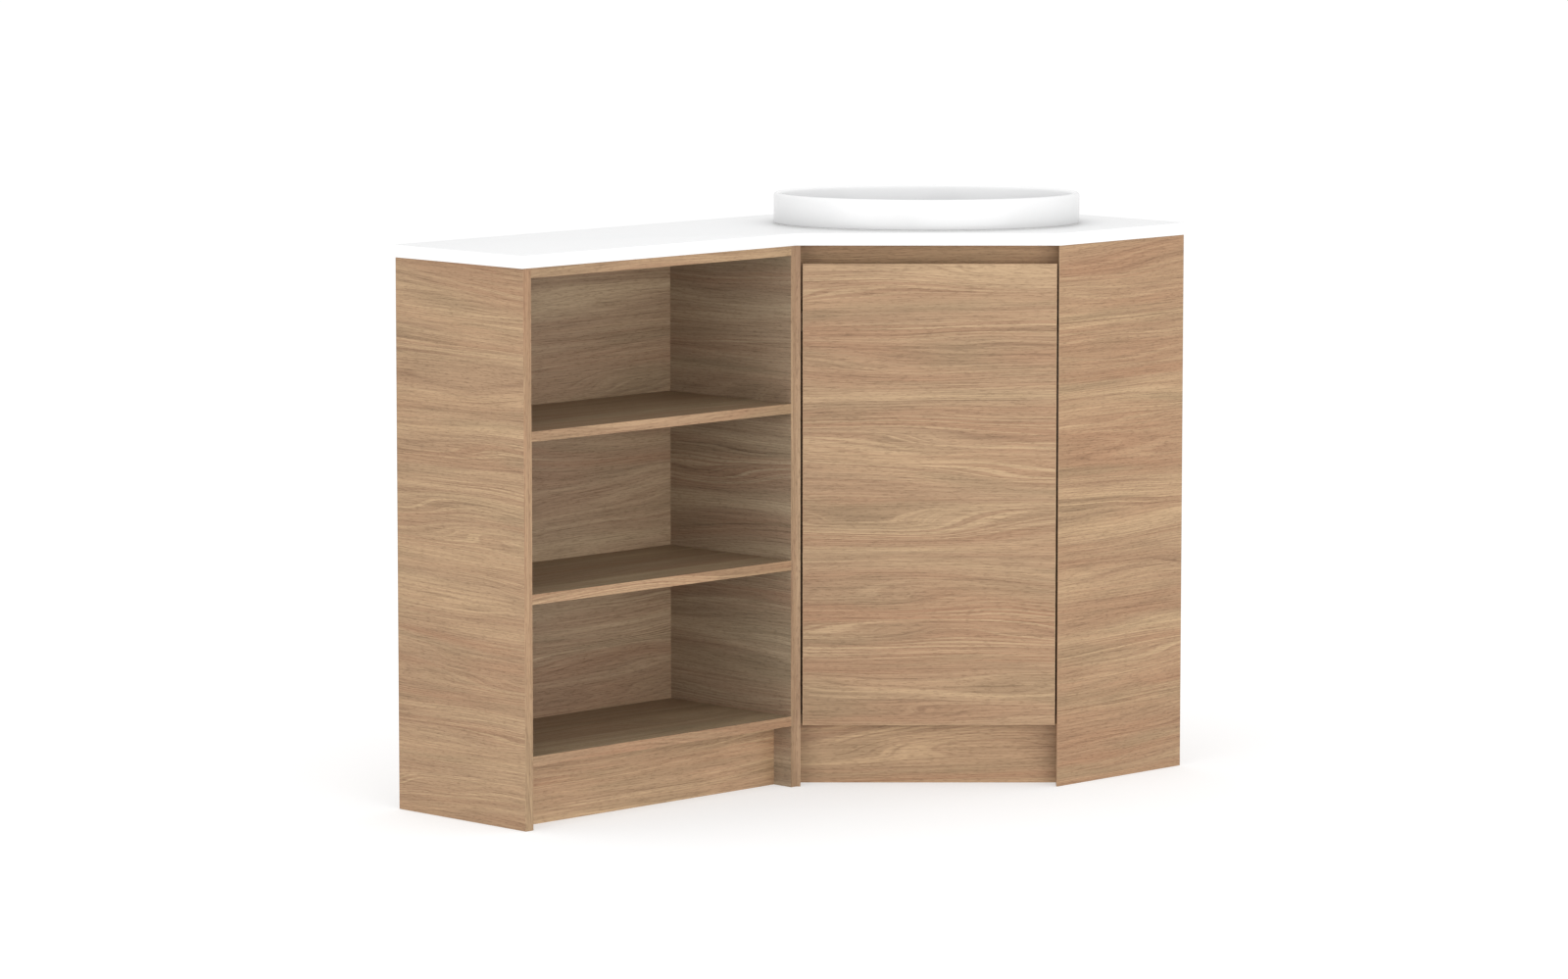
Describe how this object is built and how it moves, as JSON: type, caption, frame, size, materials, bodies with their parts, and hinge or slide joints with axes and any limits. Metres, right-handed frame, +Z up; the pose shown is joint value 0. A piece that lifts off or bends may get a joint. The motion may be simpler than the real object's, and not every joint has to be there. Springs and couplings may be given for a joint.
{
  "type": "corner vanity unit",
  "caption": "Corner vanity with an open shelf wing, a diagonal cupboard door under an oval basin set into a white worktop, and a closed return panel.",
  "frame": {"origin": "middle of the bounding box's floor face; millimetre drawing in the same frame", "axes": "+X along the long wall from the shelf wing to the side wall, +Y from the fronts to the long back wall, +Z up"},
  "size_m": [1.2, 0.6, 0.95],
  "materials": {
    "oak_laminate": "light oak laminate with a matt horizontal grain",
    "oak_edge": "light oak edge banding, matt",
    "beech": "bare beech",
    "worktop_white": "plain white solid-surface board, silky",
    "ceramic": "white glaze",
    "zinc_steel": "zinc or nickel plated",
    "chrome": "polished",
    "black_rubber": "matt black",
    "white_silicone": "white silicone",
    "clear_bumper": "soft grey"
  },
  "bodies": {
    "vanity_body": {"left_end_panel": "oak_laminate", "left_end_edge_band": "oak_edge", "wing_divider": "oak_laminate", "divider_edge_band": "oak_edge", "wing_top_panel": "oak_laminate", "upper_shelf": "oak_laminate", "lower_shelf": "oak_laminate", "wing_bottom_panel": "oak_laminate", "shelf_edge_bands": "oak_edge", "wing_back_panel": "oak_laminate", "wing_kickboard": "oak_laminate", "return_end_panel": "oak_laminate", "return_edge_band": "oak_edge", "corner_floor_panel": "oak_laminate", "corner_back_panel": "oak_laminate", "corner_side_panel": "oak_laminate", "corner_kickboard": "oak_laminate", "finger_rail": "oak_laminate", "rear_stretcher": "oak_laminate", "side_stretcher": "oak_laminate", "door_stop_block": "oak_laminate", "glue_blocks": "beech", "wooden_dowels": "beech", "cam_locks": "zinc_steel", "cam_bolts": "zinc_steel", "case_screws": "zinc_steel", "worktop_screws": "zinc_steel", "worktop": "worktop_white", "basin": "ceramic", "basin_sealant": "white_silicone", "waste_body": "chrome", "waste_guide": "chrome", "waste_top_seal": "black_rubber", "waste_washer": "black_rubber", "waste_back_nut": "chrome", "upper_hinge_arm": "zinc_steel", "lower_hinge_arm": "zinc_steel", "hinge_plates": "zinc_steel", "plate_screws": "zinc_steel", "arm_screws": "zinc_steel"},
    "cupboard_door": {"door_panel": "oak_laminate", "door_edge_bands": "oak_edge", "door_bumpers": "clear_bumper", "upper_hinge_cup": "zinc_steel", "lower_hinge_cup": "zinc_steel", "hinge_pins": "zinc_steel", "cup_screws": "zinc_steel"},
    "basin_plug": {"plug": "chrome", "plug_seal": "black_rubber"}
  },
  "joints": [
    {"name": "door_hinge", "type": "hinge", "parent": "vanity_body", "child": "cupboard_door", "pos_m": [0.29791, -0.28377, 0.4755], "axis": [0, 0, 1], "range_deg": [0, 110]},
    {"name": "plug_slide", "type": "slide", "parent": "vanity_body", "child": "basin_plug", "axis": [0, 0, 1], "range_m": [0, 0.008]}
  ]
}
